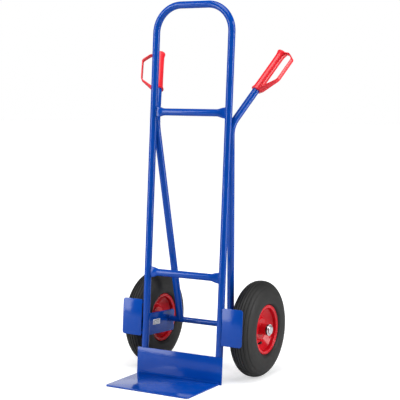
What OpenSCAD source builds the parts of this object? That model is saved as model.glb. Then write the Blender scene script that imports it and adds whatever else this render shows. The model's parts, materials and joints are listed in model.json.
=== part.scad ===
// Hand truck: bent steel tube frame, toe plate, air-filled tyres and guarded grips.
// The origin is on the floor, in the middle of the overall width and depth.
// +X is the right side, +Y points from the toe plate back to the wheels, +Z is up.

/* [Frame] */
// Overall height of the frame
frame_h = 1305; // [1000:5:1500]
// Distance between the centres of the two uprights
frame_w = 298; // [250:1:360]
// Outer diameter of the frame tube
tube_d = 25; // [20:0.5:30]
// Wall thickness of the frame tube
tube_wall = 2; // [1.5:0.1:3]
// Backward lean of the uprights, in degrees
lean = 3.2; // [1:0.1:5]
// Centreline radius of the two top corners
hoop_bend_r = 95; // [60:1:110]
// Height of the upper crossbar above the floor
upper_bar_z = 923; // [750:1:1000]
// Height of the middle crossbar above the floor
middle_bar_z = 361; // [300:1:450]
// Height of a crossbar's flattened end
bar_end_h = 37; // [32:1:42]
// Thickness of a crossbar's flattened end
bar_end_t = 9; // [6:0.5:12]
// Length over which a crossbar changes from round to flat
bar_taper = 30; // [20:1:45]
// Length of a crossbar's flat stretch beside the upright
bar_flat = 4; // [2:0.5:10]
// Height of the uprights' cut ends above the floor
foot_gap = 3; // [1:0.5:8]
// Diameter of the weld beads
weld_d = 4.2; // [3:0.1:5]

/* [Toe and heel plates] */
// Distance of the toe plate's side inside the heel plate's side
toe_step = 8.5; // [0:0.5:40]
// Reach of the toe plate in front of the heel plate
toe_reach = 214; // [150:1:300]
// Thickness of the toe plate
toe_t = 5; // [4:0.5:8]
// Corner radius at the front of the toe plate
toe_corner = 12; // [4:1:30]
// Reach of the heel plate past each upright
heel_overhang = 8.5; // [0:0.5:30]
// Height of the heel plate
heel_h = 94; // [70:1:115]
// Thickness of the heel plate
heel_t = 4; // [3:0.5:6]
// Radius of the weld bead between toe plate and heel plate
toe_weld_r = 5; // [3:0.5:7]
// Plain length at each end of a weld between heel plate and upright
weld_end = 12; // [5:1:20]

/* [Axle] */
// Diameter of the axle
axle_d = 20; // [16:0.5:22]
// Height of an axle bracket
bracket_h = 78; // [60:1:95]
// Thickness of an axle bracket
bracket_t = 5; // [4:0.5:8]
// Length of an axle bracket behind the axle's centre
bracket_tail = 27; // [20:1:40]
// Height of the axle's centre above the middle of its bracket
bracket_drop = 7; // [0:0.5:15]
// Corner radius of an axle bracket
bracket_corner = 10; // [4:1:18]
// Wall thickness of the spacer between bracket and wheel
spacer_wall = 4; // [2:0.5:8]
// Width of the washer's ring outside the wheel
washer_w = 7; // [4:0.5:10]
// Thickness of the washer
washer_t = 1.5; // [1:0.1:3]
// Height of the axle cap's dome above the axle's side
cap_room = 5.5; // [3:0.5:8]
// Width of the axle cap's flange
cap_flange = 5; // [2:0.5:8]
// Length of the axle cap
cap_l = 8; // [6:0.5:14]
// Sheet thickness of the axle cap
cap_wall = 1.2; // [0.8:0.1:2]
// Gap between the axle's end and the cap's dome
cap_gap = 1.5; // [0.5:0.1:2]

/* [Wheel guards] */
// Height of a wheel guard
guard_h = 129; // [100:1:160]
// Width of a wheel guard
guard_w = 78; // [60:1:90]
// Thickness of a wheel guard
guard_t = 3; // [2:0.5:5]
// Height of a guard's lower edge above the floor
guard_z = 133; // [110:1:160]
// Corner radius of a wheel guard
guard_corner = 10; // [4:1:20]
// Distance of a guard's front face in front of the uprights
guard_proud = 1; // [0:0.5:3]
// Length of the short welds that hold a guard
tack_l = 10; // [6:1:20]
// Distance of those welds from the guard's upper and lower edge
tack_in = 5; // [2:1:20]

/* [Wheels] */
// Outer diameter of the tyre
wheel_d = 338; // [280:1:420]
// Width of the tyre
tyre_w = 86; // [70:1:96]
// Height of the tyre's widest place above the rim's edge
belly_rise = 26; // [18:1:40]
// Fullness of the tyre's section above there, where 1 is an ellipse and less is squarer
tyre_fullness = 0.87; // [0.75:0.01:1]
// Fullness of the section below there, in the same way
side_fullness = 0.45; // [0.4:0.01:1]
// Thickness of the tyre under the tread
tread_t = 9; // [6:0.5:14]
// Thickness of the tyre's side
side_t = 7; // [4:0.5:10]
// Number of grooves around the tread
groove_count = 8; // [2:1:8]
// Distance between two tread grooves
groove_pitch = 9.5; // [6:0.5:10]
// Width of a tread groove
groove_w = 2.4; // [1.5:0.1:4]
// Depth of a tread groove
groove_depth = 3; // [1:0.5:5]
// Outer diameter of the rim
rim_d = 174; // [160:1:190]
// Width over the two rim lips
rim_w = 72; // [60:1:76]
// Sheet thickness of the rim
rim_t = 2; // [1.5:0.1:3]
// Radius of the rolled lip
lip_r = 2.4; // [2:0.1:3]
// Height of the lip's middle above the tyre's seat
seat_drop = 8; // [6:0.5:12]
// Width of the tyre's seat on the rim
seat_w = 12; // [9:0.5:15]
// Width of the boss around the hub
boss_w = 17.6; // [12:0.1:20]
// Height of the boss above the middle plane
boss_h = 12; // [6:0.5:16]
// Width of the boss's sloping side
boss_side_w = 6; // [3:0.5:8]
// Width of the valley around the boss
valley_w = 6; // [3:0.5:8]
// Wall thickness of the inner tube
inner_tube_wall = 2; // [1:0.1:3]
// Wall thickness of the hub tube
hub_wall = 2.5; // [2:0.1:4]
// Length of the hub tube
hub_l = 75; // [60:1:85]
// Step from the hub tube's bore in to a bush's nose
nose_step = 1.5; // [0.5:0.1:3]
// Length of a bush nose
nose_l = 5; // [3:0.5:8]
// Depth of a bush inside the hub tube
bush_depth = 8; // [5:0.5:12]
// Diameter of a bearing roller
roller_d = 6.4; // [4:0.1:8]
// Length of a bearing roller
roller_l = 18; // [10:1:20]
// Number of rollers in one bearing
roller_count = 9; // [6:1:9]
// Thickness of a bearing cage
cage_t = 2.6; // [1.5:0.1:4]
// Length of a bearing cage beyond its rollers
cage_end = 2.5; // [1.5:0.1:4]
// Diameter of the valve stem
valve_d = 8.6; // [7:0.1:10]
// Diameter of the valve cap
valve_cap_d = 10; // [8:0.5:12]
// Length of the valve stem inside the rim
valve_inside = 22; // [15:1:25]
// Length of the valve stem outside the rim
valve_outside = 15; // [10:1:20]
// Length of the valve cap
valve_cap_l = 9; // [6:1:12]
// Direction of the valve around the axle, in degrees from straight back
valve_turn = 229; // [0:1:359]
// Place of the valve along the rim's sloping wall, from 0 at its outer end to 1
valve_along = 0.38; // [0.3:0.01:0.6]

/* [Handles] */
// Distance of a handle tube's foot inside the middle of the upright
handle_foot_in = 46; // [32:1:70]
// Height of the bend in a handle tube
handle_bend_z = 880; // [750:1:900]
// Centreline radius of that bend
handle_bend_r = 75; // [50:1:100]
// Length of a handle from the bend's corner to the end of its grip
handle_l = 331; // [280:1:380]
// Climb of a handle above the horizontal, in degrees
handle_climb = 50; // [40:1:60]
// Splay of a handle outwards from straight back, in degrees
handle_splay = 28.3; // [15:0.1:35]
// Length of a grip
grip_l = 173; // [140:1:200]
// Outer diameter of a grip
grip_d = 31; // [29:0.5:36]
// Outer diameter of the collars at a grip's ends
collar_d = 37; // [33:0.5:42]
// Length of a collar
collar_l = 9; // [5:0.5:15]
// Thickness of a grip's closed end
grip_end_t = 5; // [3:0.5:8]
// Distance of the hand guard from the middle of the grip
hand_gap = 65; // [50:1:75]
// Width of the hand guard's band
band_w = 15; // [10:0.5:20]
// Thickness of the hand guard's band
band_t = 4; // [3:0.5:6]
// Distance of the hand guard's ends from the ends of the grip
band_in = 2; // [1:0.5:5]
// Length of the hand guard's straight step beside the upper collar
band_step = 18; // [10:1:25]
// Distance of the hand guard's lower corner from the lower end of the grip
band_low = 56; // [30:1:70]
// Distance of the hand guard's upper corner from the upper end of the grip
band_high = 24; // [15:1:40]
// Outer radius of the hand guard's lower corner
band_low_r = 22; // [10:1:30]
// Outer radius of the hand guard's two upper corners
band_high_r = 15; // [8:1:18]
// Turn of the hand guard forwards around the grip, in degrees
hand_guard_turn = 12; // [0:1:30]

/* [Label] */
// Length of the label
label_l = 47; // [30:1:60]
// Height of the label
label_h = 19; // [12:1:30]
// Thickness of the label
label_t = 0.4; // [0.2:0.1:1]
// Distance of the label behind the middle of the upright
label_back = 42.5; // [20:0.5:80]
// Height of the label's middle above the middle of the bracket
label_rise = 5; // [-15:0.5:15]

/* [Fits] */
// Gap between pieces that are welded or pushed together
joint_gap = 0.05; // [0.03:0.01:0.1]
// Radial running clearance of a bush on the axle
running_gap = 0.06; // [0.02:0.01:0.1]
// Gap between a turning piece and a fixed one
moving_gap = 0.5; // [0.3:0.1:1]
// Gap between two tubes that lie side by side
tube_gap = 0.3; // [0.1:0.1:0.6]
// Gap between a tyre and the back of its guard
tyre_gap = 3.8; // [2:0.1:15]
// Gap between a tyre's side and the upright
wheel_gap = 7.5; // [4:0.5:25]
// Gap between a tyre's foot and the rim's seat
bead_gap = 0.2; // [0.1:0.1:0.5]
// Gap between an inner tube and its tyre
inner_tube_gap = 0.4; // [0.2:0.1:1]
// Radial gap between a bearing roller and the axle or hub
bearing_gap = 0.55; // [0.3:0.05:0.8]
// Gap between a bearing roller and its cage
roller_gap = 0.15; // [0.1:0.05:0.3]
// Gap along the axle between a bearing cage and its bush
cage_gap = 1; // [0.5:0.1:2]

/* [Hidden] */
$fn = 64;

paint = [0.02, 0.18, 0.62];
grip_red = [0.95, 0.13, 0.18];
rim_red = [0.80, 0.04, 0.08];
tyre_black = [0.13, 0.13, 0.13];
zinc = [0.80, 0.82, 0.84];
black_plastic = [0.05, 0.05, 0.05];

// Lengths whose ends meet other pieces of a tube are whole hundredths of a millimetre
function hundredths(x) = round(x * 100) / 100;

// Frame, in a leaning plane whose Z axis follows the uprights
tube_r = tube_d / 2;
upright_x = frame_w / 2;
hoop_top = hundredths((frame_h - tube_r) / cos(lean));
upright_foot = hundredths(tube_r * tan(lean) + foot_gap);
cut_r = tube_r + joint_gap;
weld_r = weld_d / 2;
// How far to the side of an upright's centre a bead lies that touches the upright, where
// the bead's centre is the given distance in front of or behind the upright's centre
function weld_beside(depth) = sqrt(pow(tube_r + weld_r + joint_gap, 2) - pow(depth, 2));

// Heel and toe plates
heel_back = -tube_r - tube_gap;
heel_front = heel_back - heel_t;
heel_w = frame_w + tube_d + 2 * heel_overhang;
toe_w = heel_w - 2 * toe_step;
toe_back_y = heel_front / cos(lean);
toe_front_y = toe_back_y - toe_reach;

// Wheel guards, in front of the tyres
guard_back = guard_t - tube_r - guard_proud;
guard_weld_y = guard_back + weld_r + joint_gap;
guard_in = upright_x + weld_beside(guard_weld_y);

// Axle, also seen from the leaning plane
wheel_r = wheel_d / 2;
tyre_half = tyre_w / 2;
axle_r = axle_d / 2;
axle_from_frame = wheel_r + tyre_gap + guard_back;
axle_back = (axle_from_frame + wheel_r * sin(lean)) / cos(lean);
axle_along_frame = wheel_r * cos(lean) + axle_back * sin(lean);
bracket_mid = axle_along_frame - bracket_drop;
bracket_end = axle_from_frame + bracket_tail;
track = frame_w + tube_d + 2 * wheel_gap + tyre_w;

// The whole model moves along Y so that the origin is in the middle of the depth
depth_shift = -(toe_front_y + axle_back + wheel_r) / 2;

// Hub: axle, rollers, hub tube and boss one around the other
roller_ring_r = axle_r + bearing_gap + roller_d / 2;
hub_bore_r = axle_r + roller_d + 2 * bearing_gap;
hub_r = hub_bore_r + hub_wall;
hub_hole_r = hub_r + joint_gap;
boss_r = hub_r + boss_w;
cage_l = roller_l + 2 * cage_end;
cage_start = hub_l / 2 - bush_depth - cage_gap - cage_l;

// Stations along the axle, measured from the middle of a wheel
hub_end = hub_l / 2;
nose_end = hub_end + nose_l;
washer_in = nose_end + moving_gap;
washer_out = washer_in + washer_t;
cap_out = washer_out + cap_l;
axle_end = track / 2 + cap_out - cap_wall - cap_gap;
spacer_in = upright_x + bracket_t / 2 + joint_gap;
spacer_out = track / 2 - nose_end - moving_gap;

// Rim section, as [radius, distance from the wheel's middle plane]
rim_edge = rim_d / 2 - lip_r;
seat_r = rim_edge - seat_drop;
lip_x = rim_w / 2 - lip_r;
seat_x = lip_x - rim_t / 2;
rim_line = [
    [rim_edge, lip_x],
    [seat_r, seat_x],
    [seat_r - rim_t / 2, seat_x - seat_w],
    [boss_r + boss_side_w + valley_w, rim_t / 2],
    [boss_r + boss_side_w, rim_t / 2],
    [boss_r, boss_h],
    [hub_hole_r, boss_h]];

// Valve, square to the rim's sloping wall
slope_out = rim_line[2];
slope_in = rim_line[3];
valve_foot = slope_out + (slope_in - slope_out) * valve_along;
slope_angle = atan2(slope_out[1] - slope_in[1], slope_out[0] - slope_in[0]);

// Tyre section: its widest place, its crown, and the bead that sits on the rim
belly_r = rim_edge + belly_rise;
crown_rise = wheel_r - belly_r;
bead_w = 8;
bead_foot_r = seat_r + rim_t / 2 + bead_gap;
bead_out = seat_x - rim_t;
bead_in = bead_out - bead_w;
side_foot_x = lip_x - lip_r - bead_gap;
bead_angle = acos(pow(side_foot_x / tyre_half, 1 / side_fullness));
bead_drop = (belly_r - rim_d / 2 - bead_gap) / pow(sin(bead_angle), side_fullness);
tyre_steps = 26;

// Inner tube section, just inside the tyre
tube_half = tyre_half - side_t - inner_tube_gap;
tube_rise = crown_rise - tread_t - inner_tube_gap;
tube_drop = bead_drop - side_t - inner_tube_gap;

// Handle tube: foot on the axle, bend behind the upright, then the grip
handle_dir = [
    cos(handle_climb) * sin(handle_splay),
    cos(handle_climb) * cos(handle_splay),
    sin(handle_climb)];
foot = [upright_x - handle_foot_in, axle_back, wheel_r];
up_dir = [0, sin(lean), cos(lean)];
back_dir = [0, cos(lean), -sin(lean)];
function unit(v) = v / norm(v);
function corner_behind(d) = [
    upright_x,
    handle_bend_z * tan(lean) + d / cos(lean),
    handle_bend_z];
function rise_to(p) = unit(p - foot);
function turn_at(p) = acos(rise_to(p) * handle_dir);
function side_at(p) = unit(handle_dir - cos(turn_at(p)) * rise_to(p));
function reach_at(p) = handle_bend_r * tan(turn_at(p) / 2);
// How much further back a bend's corner lies than the nearest part of the bent tube
function set_back(p) =
    let (rise = rise_to(p) * back_dir, side = side_at(p) * back_dir)
    reach_at(p) * rise - handle_bend_r * (side - norm([rise, side]));
corner = corner_behind(tube_d + tube_gap + set_back(corner_behind(tube_d)));
rise_dir = rise_to(corner);
bend_angle = turn_at(corner);
bend_side = side_at(corner);
bend_reach = reach_at(corner);
bend_start = corner - bend_reach * rise_dir;
bend_middle = bend_start + handle_bend_r * bend_side;
grip_foot = corner + (handle_l - grip_l) * handle_dir;

// Weld beads between a handle tube and its upright, where the two lie closest
touch_angle = atan2(-rise_dir * back_dir, bend_side * back_dir);
touch = bend_middle - handle_bend_r * (cos(touch_angle) * bend_side - sin(touch_angle) * rise_dir);
touch_along = touch * up_dir;
touch_weld_l = 16;
outward = unit([1, 0, 0] - handle_dir[0] * handle_dir);
across = cross(handle_dir, outward);
guard_dir = cos(hand_guard_turn) * outward - sin(hand_guard_turn) * across;

// Points of a round corner of radius r at p, between the points before and after it
function corner_points(before, p, after, r, steps = 6) =
    let (u = unit(before - p), v = unit(after - p), half = acos(u * v) / 2)
    let (centre = p + unit(u + v) * r / sin(half), a = p + u * r / tan(half) - centre)
    let (b = p + v * r / tan(half) - centre, sweep = 180 - 2 * half)
    [for (i = [0:steps])
        centre + (a * sin(sweep * (1 - i / steps)) + b * sin(sweep * i / steps)) / sin(sweep)];

// A line of points moved sideways by d
function side_of(a, b) = unit([a[1] - b[1], b[0] - a[0]]);
function moved(line, d) = [
    for (i = [0:len(line) - 1])
        let (a = side_of(line[max(i - 1, 0)], line[max(i, 1)]))
        let (b = side_of(line[min(i, len(line) - 2)], line[min(i + 1, len(line) - 1)]))
        line[i] + (a + b) * d / (1 + a * b)];
function reversed(list) = [for (i = [len(list) - 1:-1:0]) list[i]];

// A point of the tyre's rounded section at angle a, w to each side of the middle
function tyre_point(a, w, top, drop) =
    let (low = a < 0 || a > 180, fullness = low ? side_fullness : tyre_fullness) [
        belly_r + (low ? -drop : top) * pow(abs(sin(a)), fullness),
        w * sign(cos(a)) * pow(abs(cos(a)), fullness)];
function tyre_arc(from, to, w, top, drop) =
    [for (i = [0:tyre_steps]) tyre_point(from + (to - from) * i / tyre_steps, w, top, drop)];
// Radius of the tread at distance x from the middle plane
function tread_r(x) = tyre_point(acos(pow(abs(x) / tyre_half, 1 / tyre_fullness)), 0, crown_rise, 0)[0];

module in_place() translate([0, depth_shift, 0]) children();
module leaning() in_place() rotate([-lean, 0, 0]) children();
module left() mirror([1, 0, 0]) children();
module both_sides() {
    children();
    left() children();
}
module along_x() rotate([0, 90, 0]) children();
module at_wheel() in_place() translate([track / 2, axle_back, wheel_r]) children();
module frame_of(x, y, z, at) multmatrix([
    [x[0], y[0], z[0], at[0]],
    [x[1], y[1], z[1], at[1]],
    [x[2], y[2], z[2], at[2]]]) children();

module ring(outer_r, inner_r) difference() {
    circle(outer_r);
    circle(inner_r);
}
module pipe(outer_r, inner_r, length) linear_extrude(length) ring(outer_r, inner_r);
// Part of a ring of tube around Z, from the X axis through the given angle
module bend(radius, angle) difference() {
    reach = 2 * radius;
    rotate_extrude() translate([radius, 0]) ring(tube_r, tube_r - tube_wall);
    translate([-reach, -2 * reach, -reach]) cube([2 * reach, 2 * reach, 2 * reach]);
    rotate(angle) translate([-reach, 0, -reach]) cube([2 * reach, 2 * reach, 2 * reach]);
}
module upright_cut() translate([upright_x, 0, 0]) cylinder(h = hoop_top, r = cut_r);

// Frame tubes
module main_frame_tube() color(paint) leaning() {
    leg_top = hoop_top - hoop_bend_r;
    both_sides() {
        translate([upright_x, 0, upright_foot])
            pipe(tube_r, tube_r - tube_wall, leg_top - upright_foot);
        translate([upright_x - hoop_bend_r, 0, leg_top])
            rotate([90, 0, 0])
            bend(hoop_bend_r, 90);
    }
    half_top = upright_x - hoop_bend_r;
    translate([-half_top, 0, hoop_top]) along_x() pipe(tube_r, tube_r - tube_wall, 2 * half_top);
}

module flat_end() translate([-bar_end_t / 2, 0]) {
    reach = (bar_end_h - bar_end_t) / 2;
    translate([0, -reach]) square([bar_end_t, 2 * reach]);
    for (s = [-1, 1]) translate([bar_end_t / 2, s * reach]) circle(bar_end_t / 2, $fn = 32);
}
module crossbar(height) color(paint) leaning() translate([0, 0, height / cos(lean)]) {
    taper_end = upright_x - tube_r - bar_flat;
    taper_start = taper_end - bar_taper;
    slice = 0.5;
    translate([-taper_start, 0, 0]) along_x() pipe(tube_r, tube_r - tube_wall, 2 * taper_start);
    both_sides() difference() {
        union() {
            hull() {
                translate([taper_start, 0, 0]) along_x() cylinder(h = slice, r = tube_r, $fn = 32);
                translate([taper_end, 0, 0]) bar_end(slice);
            }
            translate([taper_end, 0, 0]) bar_end(tube_r + bar_flat);
        }
        translate([0, 0, -hoop_top / 2]) upright_cut();
    }
}
module bar_end(length) rotate([90, 0, 90]) linear_extrude(length) flat_end();
module upper_crossbar() crossbar(upper_bar_z);
module middle_crossbar() crossbar(middle_bar_z);

// Handle tubes
module right_handle_tube() color(paint) in_place() difference() {
    frame_of(-bend_side, rise_dir, cross(-bend_side, rise_dir), bend_middle) {
        bend(handle_bend_r, bend_angle);
        translate([handle_bend_r, 0, 0]) rotate([90, 0, 0])
            pipe(tube_r, tube_r - tube_wall, norm(bend_start - foot));
        rotate(bend_angle) translate([handle_bend_r, 0, 0]) rotate([-90, 0, 0])
            pipe(tube_r, tube_r - tube_wall, handle_l - bend_reach - grip_end_t);
    }
    translate([0, axle_back, wheel_r]) along_x() cylinder(h = frame_w, r = axle_r + joint_gap);
}
module left_handle_tube() left() right_handle_tube();
module weld_beads(depth, from, length) both_sides() for (s = [-1, 1])
    translate([upright_x + s * weld_beside(depth), depth, from])
    cylinder(h = length, r = weld_r);
module handle_welds() color(paint) leaning()
    weld_beads(tube_r - 2 * tube_gap, touch_along - touch_weld_l / 2, touch_weld_l);

// Plates at the foot
module heel_plate() color(paint) leaning() difference() {
    translate([-heel_w / 2, heel_front, -heel_t]) cube([heel_w, heel_t, heel_h + heel_t]);
    rotate([lean, 0, 0]) translate([-heel_w, -heel_w, -2 * heel_h])
        cube([2 * heel_w, 2 * heel_w, 2 * heel_h]);
}
module toe_plate() color(paint) in_place() difference() {
    reach = toe_reach + heel_t;
    translate([0, toe_front_y, 0]) linear_extrude(toe_t) {
        translate([-toe_w / 2, toe_corner]) square([toe_w, reach - toe_corner]);
        translate([toe_corner - toe_w / 2, 0]) square([toe_w - 2 * toe_corner, toe_corner]);
        for (s = [-1, 1]) translate([s * (toe_w / 2 - toe_corner), toe_corner]) circle(toe_corner);
    }
    rotate([-lean, 0, 0]) translate([-toe_w, heel_front, -toe_w]) cube(2 * toe_w);
}
module toe_weld() color(paint) difference() {
    in_place() translate([-toe_w / 2, toe_back_y + toe_t * tan(lean), toe_t])
        along_x() cylinder(h = toe_w, r = toe_weld_r);
    in_place() translate([-toe_w, toe_front_y, -toe_w + toe_t]) cube([2 * toe_w, toe_w + toe_reach, toe_w]);
    leaning() translate([-toe_w, heel_front, -toe_w]) cube(2 * toe_w);
}
module heel_welds() color(paint) leaning()
    weld_beads(heel_back + weld_r + joint_gap, weld_end, heel_h - 2 * weld_end);

// Axle and its brackets
module axle() color(paint) in_place() translate([-axle_end, axle_back, wheel_r])
    along_x() cylinder(h = 2 * axle_end, r = axle_r);
module right_axle_bracket() color(paint) difference() {
    leaning() difference() {
        translate([upright_x - bracket_t / 2, 0, bracket_mid - bracket_h / 2])
            rotate([90, 0, 90])
            linear_extrude(bracket_t) {
                square([bracket_end - bracket_corner, bracket_h]);
                translate([0, bracket_corner]) square([bracket_end, bracket_h - 2 * bracket_corner]);
                for (z = [bracket_corner, bracket_h - bracket_corner])
                    translate([bracket_end - bracket_corner, z]) circle(bracket_corner);
            }
        upright_cut();
    }
    in_place() translate([0, axle_back, wheel_r])
        along_x() cylinder(h = frame_w, r = axle_r + joint_gap);
}
module left_axle_bracket() left() right_axle_bracket();
module right_axle_spacer() color(paint) at_wheel() translate([spacer_in - track / 2, 0, 0])
    along_x() pipe(axle_r + spacer_wall, axle_r + joint_gap, spacer_out - spacer_in);
module left_axle_spacer() left() right_axle_spacer();
module axle_washers() color(zinc) both_sides() at_wheel() translate([washer_in, 0, 0])
    along_x() pipe(axle_r + washer_w, axle_r + joint_gap, washer_t);
module right_axle_cap() color(zinc) at_wheel() along_x() rotate_extrude() {
    dome_r = axle_r + cap_room;
    flange = washer_out + cap_wall;
    edge = 2 * cap_wall;
    polygon([
        [axle_r + joint_gap, washer_out], [dome_r + cap_flange, washer_out],
        [dome_r + cap_flange, flange], [dome_r, flange], [dome_r, cap_out - edge],
        [dome_r - edge, cap_out], [0, cap_out], [0, cap_out - cap_wall],
        [dome_r - edge, cap_out - cap_wall], [dome_r - cap_wall, cap_out - edge],
        [dome_r - cap_wall, flange], [axle_r + joint_gap, flange]]);
}
module left_axle_cap() left() right_axle_cap();

module right_wheel_guard() color(paint) leaning() {
    plain_w = guard_w - guard_corner;
    translate([guard_in, guard_back, guard_z / cos(lean)])
        rotate([90, 0, 0])
        linear_extrude(guard_t) {
            square([plain_w, guard_h]);
            translate([0, guard_corner]) square([guard_w, guard_h - 2 * guard_corner]);
            for (z = [guard_corner, guard_h - guard_corner])
                translate([plain_w, z]) circle(guard_corner);
        }
}
module left_wheel_guard() left() right_wheel_guard();
module guard_welds() color(paint) leaning() both_sides()
    for (z = [tack_in, guard_h - tack_in - tack_l])
        translate([guard_in, guard_weld_y, guard_z / cos(lean) + z]) cylinder(h = tack_l, r = weld_r);

// Grips with hand guards; local Z runs up the grip and local X towards the guard
module band_outline(inset) {
    out = hand_gap + band_t / 2;
    top = grip_l - band_in;
    line = moved([
        [0, 0], [collar_d / 2, band_in], [out, band_low], [out, grip_l - band_high],
        [collar_d / 2 + band_step, top], [0, top]], inset);
    polygon(concat(
        [line[0], line[1]],
        corner_points(line[1], line[2], line[3], band_low_r - inset),
        corner_points(line[2], line[3], line[4], band_high_r - inset),
        corner_points(line[3], line[4], line[5], band_high_r - inset),
        [line[5]]));
}
module right_grip() color(grip_red) in_place()
    frame_of(guard_dir, cross(handle_dir, guard_dir), handle_dir, grip_foot)
    difference() {
        edge = collar_l / 3;
        union() {
            cylinder(h = grip_l - edge, r = grip_d / 2);
            cylinder(h = collar_l, r = collar_d / 2);
            translate([0, 0, grip_l - collar_l]) cylinder(h = collar_l - edge, r = collar_d / 2);
            translate([0, 0, grip_l - edge]) cylinder(h = edge, r1 = collar_d / 2, r2 = collar_d / 2 - edge);
            translate([0, band_w / 2, 0]) rotate([90, 0, 0]) linear_extrude(band_w) difference() {
                band_outline(0);
                band_outline(band_t);
                translate([-collar_d, -collar_d]) square([collar_d, grip_l + 2 * collar_d]);
            }
        }
        translate([0, 0, -grip_end_t]) cylinder(h = grip_l, r = tube_r + joint_gap);
    }
module left_grip() left() right_grip();

// Label on the inner face of the left bracket
module label() color("white") leaning()
    translate([-upright_x + bracket_t / 2, label_back, bracket_mid + label_rise - label_h / 2])
    cube([label_t, label_l, label_h]);

// Wheels, turned around Z here and laid along X by the nodes below
module tyre_section() difference() {
    polygon(concat(
        tyre_arc(-bead_angle, 180 + bead_angle, tyre_half, crown_rise, bead_drop),
        [[bead_foot_r, -bead_out], [bead_foot_r, -bead_in]],
        tyre_arc(180 + bead_angle, -bead_angle, tyre_half - side_t, crown_rise - tread_t, bead_drop - side_t),
        [[bead_foot_r, bead_in], [bead_foot_r, bead_out]]));
    for (i = [0:groove_count - 1]) {
        x = (i - (groove_count - 1) / 2) * groove_pitch;
        translate([tread_r(x) - groove_depth, x - groove_w / 2]) square([2 * groove_depth, groove_w]);
    }
}
module tyre() color(tyre_black) at_wheel() along_x() rotate_extrude() tyre_section();
module tube_outline(inset) polygon(concat(
    tyre_arc(0, 180, tube_half - inset, tube_rise - inset, tube_drop - inset),
    tyre_arc(181, 359, tube_half - inset, tube_rise - inset, tube_drop - inset)));
module inner_tube() color(black_plastic) at_wheel() along_x() rotate_extrude() difference() {
    tube_outline(0);
    tube_outline(inner_tube_wall);
}
module outer_rim_half() color(rim_red) at_wheel() difference() {
    along_x() rim_half();
    valve_place() translate([0, 0, -valve_d]) cylinder(h = 2 * valve_d, r = valve_d / 2 + joint_gap);
}
module inner_rim_half() color(rim_red) at_wheel() left() along_x() rim_half();
module rim_half() {
    rotate_extrude()
        polygon(concat(moved(rim_line, rim_t / 2), reversed(moved(rim_line, -rim_t / 2))));
    rotate_extrude() translate(rim_line[0]) circle(lip_r);
}
module hub_tube() color(rim_red) at_wheel() translate([-hub_end, 0, 0])
    along_x() pipe(hub_r, hub_bore_r, hub_l);
module outer_bush() color(black_plastic) at_wheel() along_x() difference() {
    translate([0, 0, hub_end - bush_depth]) union() {
        cylinder(h = bush_depth, r = hub_bore_r - joint_gap);
        cylinder(h = bush_depth + nose_l, r = hub_bore_r - nose_step);
    }
    cylinder(h = track, r = axle_r + running_gap);
}
module inner_bush() translate([track, 0, 0]) left() outer_bush();
module bearing_places() for (s = [0, 1]) mirror([0, 0, s]) translate([0, 0, cage_start]) children();
module rollers(r, length) for (i = [0:roller_count - 1])
    rotate(360 * i / roller_count)
    translate([roller_ring_r, 0, (cage_l - length) / 2]) cylinder(h = length, r = r);
module bearing_rollers() color(zinc) at_wheel() along_x() bearing_places() rollers(roller_d / 2, roller_l);
module bearing_cages() color(black_plastic) at_wheel() along_x() bearing_places() difference() {
    pipe(roller_ring_r + cage_t / 2, roller_ring_r - cage_t / 2, cage_l);
    rollers(roller_d / 2 + roller_gap, roller_l + 2 * roller_gap);
}

// Valve, through the sloping wall of the outer rim half
module valve_place() rotate([valve_turn, 0, 0])
    translate([valve_foot[1], valve_foot[0], 0])
    rotate([0, 0, -slope_angle])
    rotate([0, 90, 0])
    children();
module valve_stem() color(black_plastic) at_wheel() valve_place()
    translate([0, 0, -valve_inside]) cylinder(h = valve_inside + valve_outside, r = valve_d / 2);
module valve_cap() color(black_plastic) at_wheel() valve_place()
    translate([0, 0, valve_outside]) cylinder(h = valve_cap_l, r = valve_cap_d / 2);

main_frame_tube();
upper_crossbar();
middle_crossbar();
left_handle_tube();
right_handle_tube();
handle_welds();
heel_plate();
toe_plate();
toe_weld();
heel_welds();
axle();
left_axle_bracket();
right_axle_bracket();
left_wheel_guard();
right_wheel_guard();
guard_welds();
left_grip();
right_grip();
label();
left_axle_spacer();
right_axle_spacer();
axle_washers();
left_axle_cap();
right_axle_cap();
left() tyre();  // left_tyre
left() inner_tube();  // left_inner_tube
left() outer_rim_half();  // left_outer_rim_half
left() inner_rim_half();  // left_inner_rim_half
left() hub_tube();  // left_hub_tube
left() outer_bush();  // left_outer_bush
left() inner_bush();  // left_inner_bush
left() bearing_cages();  // left_bearing_cages
left() bearing_rollers();  // left_bearing_rollers
left() valve_stem();  // left_valve_stem
left() valve_cap();  // left_valve_cap
tyre();  // right_tyre
inner_tube();  // right_inner_tube
outer_rim_half();  // right_outer_rim_half
inner_rim_half();  // right_inner_rim_half
hub_tube();  // right_hub_tube
outer_bush();  // right_outer_bush
inner_bush();  // right_inner_bush
bearing_cages();  // right_bearing_cages
bearing_rollers();  // right_bearing_rollers
valve_stem();  // right_valve_stem
valve_cap();  // right_valve_cap
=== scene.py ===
"""Hand truck: the looks of the tube frame, plates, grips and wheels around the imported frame.

Lengths are in metres. +X is the truck's right side, +Y points back to the wheels, +Z is up.
"""
import json
import math

import bmesh
import bpy
from mathutils import Matrix, Vector


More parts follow.
